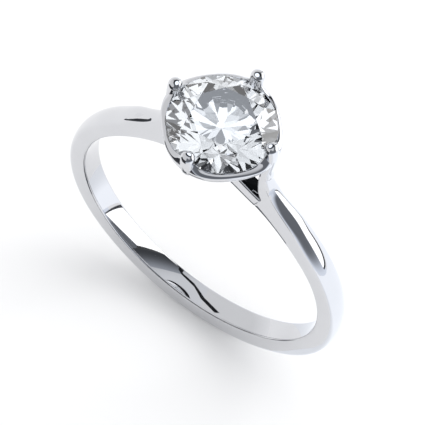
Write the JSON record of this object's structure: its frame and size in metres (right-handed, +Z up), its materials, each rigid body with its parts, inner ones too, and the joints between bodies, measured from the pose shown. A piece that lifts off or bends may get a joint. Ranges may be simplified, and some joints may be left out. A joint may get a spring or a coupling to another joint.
{
  "type": "solitaire engagement ring",
  "caption": "Solitaire ring in polished white metal: a slim tapered band with raised shoulders and a tulip cup whose claws hold a round brilliant stone.",
  "frame": {"origin": "centre of the finger hole, halfway across the band's width", "axes": "+Z up through the stone, +Y along the finger, +X towards the right shoulder"},
  "size_m": [0.0202, 0.0076, 0.0253],
  "materials": {
    "shank_metal": "mirror-polished platinum",
    "head_metal": "mirror-polished platinum",
    "stone": "polished facets, colourless"
  },
  "bodies": {
    "root": {"shank": "shank_metal", "shoulder_left": "shank_metal", "shoulder_right": "shank_metal", "bridge": "shank_metal", "base_ring": "head_metal", "tulip_cup": "head_metal", "claw_left": "head_metal", "claw_right": "head_metal", "claw_front": "head_metal", "claw_back": "head_metal", "diamond": "stone"}
  },
  "joints": []
}
